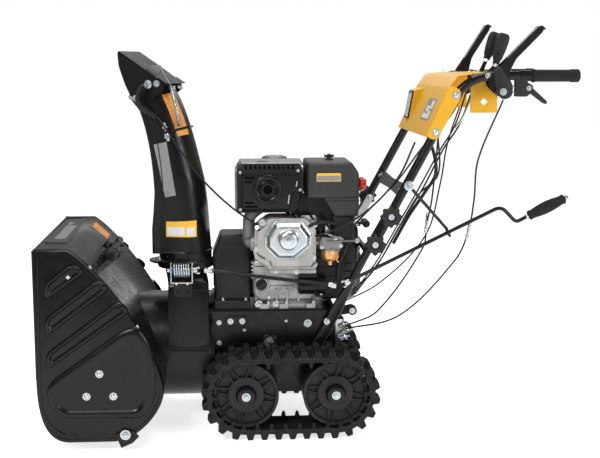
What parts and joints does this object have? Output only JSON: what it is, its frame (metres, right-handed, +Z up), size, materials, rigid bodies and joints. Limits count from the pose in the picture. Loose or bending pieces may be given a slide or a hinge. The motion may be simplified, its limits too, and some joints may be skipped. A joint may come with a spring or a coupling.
{
  "type": "two stage snowblower",
  "caption": "Walk-behind two stage snow blower on rubber tracks, with auger housing, impeller, turning chute, engine, crank, console and control levers.",
  "frame": {"origin": "on the ground, in the middle of the whole machine's length and width (bottom centre of its box), on the centre plane", "axes": "-X is the front with the auger, +X the rear with the handlebar, -Y the operator's left, +Z up"},
  "size_m": [1.54, 0.709, 1.2023],
  "materials": {
    "black_paint": "semi-gloss powder coat",
    "cast_alloy": "as cast",
    "steel": "machined",
    "zinc_plate": "bright zinc",
    "carburetor_metal": "passivated bronze",
    "dark_plastic": "fine grain",
    "yellow_paint": "powder coat",
    "lamp_lens": "ribbed lens",
    "red_plastic": "gloss",
    "track_rubber": "matt",
    "grip_rubber": "matt"
  },
  "bodies": {
    "chassis": {"auger_housing": "black_paint", "scraper_bar": "steel", "left_skid_shoe": "black_paint", "right_skid_shoe": "black_paint", "gearbox_case": "cast_alloy", "clean_out_tool": "dark_plastic", "tractor_frame": "black_paint", "belt_cover": "dark_plastic", "crankcase": "cast_alloy", "valve_cover": "zinc_plate", "muffler": "black_paint", "air_box": "dark_plastic", "carburetor": "carburetor_metal", "fuel_tank": "black_paint", "fan_housing": "black_paint", "starter_motor": "black_paint", "lower_handle": "black_paint", "upper_handle": "black_paint", "left_handle_clamp": "dark_plastic", "right_handle_clamp": "dark_plastic", "console_panel": "yellow_paint", "headlight": "lamp_lens", "left_grip": "grip_rubber", "right_grip": "grip_rubber", "rod_support_arm": "black_paint", "worm_bracket": "zinc_plate", "left_track": "track_rubber", "right_track": "track_rubber", "auger_belt": "track_rubber", "traction_belt": "track_rubber", "drive_chain": "steel"},
    "impeller": {"impeller": "black_paint", "impeller_shaft": "steel"},
    "auger": {"auger_shaft": "steel", "left_auger": "black_paint", "right_auger": "black_paint"},
    "crankshaft": {"crankshaft": "steel"},
    "drive_disc": {"drive_disc": "cast_alloy"},
    "hex_shaft": {"hex_shaft": "steel"},
    "friction_wheel": {"friction_wheel": "track_rubber"},
    "drive_axle": {"drive_axle": "steel"},
    "left_rear_wheel": {"left_rear_wheel": "dark_plastic"},
    "left_front_wheel": {"left_front_wheel": "dark_plastic"},
    "right_rear_wheel": {"right_rear_wheel": "dark_plastic"},
    "right_front_wheel": {"right_front_wheel": "dark_plastic"},
    "chute": {"chute": "black_paint"},
    "deflector": {"chute_deflector": "black_paint"},
    "worm": {"chute_worm": "zinc_plate"},
    "front_rod": {"front_crank_rod": "black_paint"},
    "crank": {"crank_rod": "black_paint"},
    "grip": {"crank_grip": "grip_rubber"},
    "left_clutch_lever": {"left_clutch_lever": "black_paint"},
    "right_clutch_lever": {"right_clutch_lever": "black_paint"},
    "left_trigger": {"left_steering_trigger": "dark_plastic"},
    "right_trigger": {"right_steering_trigger": "dark_plastic"},
    "speed_lever": {"speed_lever": "dark_plastic"},
    "deflector_lever": {"deflector_lever": "dark_plastic"},
    "fuel_cap": {"fuel_cap": "black_paint"},
    "choke_knob": {"choke_knob": "red_plastic"},
    "recoil": {"recoil_handle": "dark_plastic"}
  },
  "joints": [
    {"name": "impeller_spin", "type": "hinge", "parent": "chassis", "child": "impeller", "pos_m": [-0.388, 0, 0.2245], "axis": [1, 0, 0], "continuous": true},
    {"name": "auger_spin", "type": "hinge", "parent": "chassis", "child": "auger", "pos_m": [-0.597, 0, 0.1825], "axis": [0, 1, 0], "continuous": true},
    {"name": "crankshaft_spin", "type": "hinge", "parent": "chassis", "child": "crankshaft", "pos_m": [-0.058, 0, 0.4575], "axis": [1, 0, 0], "continuous": true},
    {"name": "drive_disc_spin", "type": "hinge", "parent": "chassis", "child": "drive_disc", "pos_m": [-0.208, 0, 0.2525], "axis": [1, 0, 0], "continuous": true},
    {"name": "drive_axle_spin", "type": "hinge", "parent": "chassis", "child": "drive_axle", "pos_m": [0.072, 0, 0.13], "axis": [0, 1, 0], "continuous": true},
    {"name": "hex_shaft_spin", "type": "hinge", "parent": "chassis", "child": "hex_shaft", "pos_m": [-0.114, 0, 0.2525], "axis": [0, 1, 0], "continuous": true},
    {"name": "friction_wheel_slide", "type": "slide", "parent": "hex_shaft", "child": "friction_wheel", "axis": [0, 1, 0], "range_m": [-0.05, 0.05]},
    {"name": "left_rear_wheel_spin", "type": "hinge", "parent": "chassis", "child": "left_rear_wheel", "pos_m": [0.072, -0.225, 0.13], "axis": [0, 1, 0], "continuous": true},
    {"name": "left_front_wheel_spin", "type": "hinge", "parent": "chassis", "child": "left_front_wheel", "pos_m": [-0.188, -0.225, 0.13], "axis": [0, 1, 0], "continuous": true},
    {"name": "right_rear_wheel_spin", "type": "hinge", "parent": "chassis", "child": "right_rear_wheel", "pos_m": [0.072, 0.225, 0.13], "axis": [0, 1, 0], "continuous": true},
    {"name": "right_front_wheel_spin", "type": "hinge", "parent": "chassis", "child": "right_front_wheel", "pos_m": [-0.188, 0.225, 0.13], "axis": [0, 1, 0], "continuous": true},
    {"name": "chute_rotate", "type": "hinge", "parent": "chassis", "child": "chute", "pos_m": [-0.362, -0.074, 0.4895], "axis": [0, 0, 1], "range_deg": [-85, 115]},
    {"name": "deflector_tilt", "type": "hinge", "parent": "chute", "child": "deflector", "pos_m": [-0.40385, -0.0604, 1.0165], "axis": [0.309, 0.9511, 0], "range_deg": [-30, 15]},
    {"name": "worm_spin", "type": "hinge", "parent": "chassis", "child": "worm", "pos_m": [-0.37, -0.19, 0.4845], "axis": [1, 0, 0], "range_deg": [-1400, 1400]},
    {"name": "front_rod_spin", "type": "hinge", "parent": "chassis", "child": "front_rod", "pos_m": [-0.306, -0.19, 0.4855], "axis": [0.983, -0.1516, -0.1036], "range_deg": [-1400, 1400]},
    {"name": "crank_spin", "type": "hinge", "parent": "chassis", "child": "crank", "pos_m": [0.083, -0.25, 0.4445], "axis": [0.8978, -0.0116, 0.4402], "range_deg": [-1400, 1400]},
    {"name": "crank_grip_spin", "type": "hinge", "parent": "crank", "child": "grip", "pos_m": [0.618, -0.258, 0.6395], "axis": [0.903, 0, 0.4297], "continuous": true},
    {"name": "left_clutch_squeeze", "type": "hinge", "parent": "chassis", "child": "left_clutch_lever", "pos_m": [0.544, -0.234, 0.9985], "axis": [0, 1, 0], "range_deg": [0, 28]},
    {"name": "right_clutch_squeeze", "type": "hinge", "parent": "chassis", "child": "right_clutch_lever", "pos_m": [0.544, 0.234, 0.9985], "axis": [0, 1, 0], "range_deg": [0, 40]},
    {"name": "left_trigger_squeeze", "type": "hinge", "parent": "chassis", "child": "left_trigger", "pos_m": [0.622, -0.234, 1.0085], "axis": [0, 1, 0], "range_deg": [-24, 0]},
    {"name": "right_trigger_squeeze", "type": "hinge", "parent": "chassis", "child": "right_trigger", "pos_m": [0.622, 0.234, 1.0085], "axis": [0, 1, 0], "range_deg": [-24, 0]},
    {"name": "speed_lever_tilt", "type": "hinge", "parent": "chassis", "child": "speed_lever", "pos_m": [0.522, 0.022, 0.9995], "axis": [0, 1, 0], "range_deg": [-12, 8]},
    {"name": "deflector_lever_tilt", "type": "hinge", "parent": "chassis", "child": "deflector_lever", "pos_m": [0.522, -0.022, 0.9995], "axis": [0, 1, 0], "range_deg": [-16, 8]},
    {"name": "fuel_cap_turn", "type": "hinge", "parent": "chassis", "child": "fuel_cap", "pos_m": [-0.088, 0.07, 0.7845], "axis": [0, 0, 1], "range_deg": [-90, 90]},
    {"name": "choke_turn", "type": "hinge", "parent": "chassis", "child": "choke_knob", "pos_m": [0.152, -0.1, 0.7225], "axis": [1, 0, 0], "range_deg": [0, 90]},
    {"name": "recoil_pull", "type": "slide", "parent": "chassis", "child": "recoil", "axis": [0.8, 0, 0.6], "range_m": [0, 0.35]}
  ],
  "couplings": [
    {"joint": "auger_spin", "follows": "impeller_spin", "ratio": -0.1},
    {"joint": "hex_shaft_spin", "follows": "drive_axle_spin", "ratio": 1.4286},
    {"joint": "friction_wheel_slide", "follows": "speed_lever_tilt", "m_per_rad": 0.2},
    {"joint": "left_front_wheel_spin", "follows": "left_rear_wheel_spin", "ratio": 1},
    {"joint": "right_front_wheel_spin", "follows": "right_rear_wheel_spin", "ratio": 1},
    {"joint": "worm_spin", "follows": "chute_rotate", "ratio": 12},
    {"joint": "front_rod_spin", "follows": "chute_rotate", "ratio": 12},
    {"joint": "crank_spin", "follows": "chute_rotate", "ratio": 12},
    {"joint": "deflector_lever_tilt", "follows": "deflector_tilt", "ratio": 0.5}
  ]
}
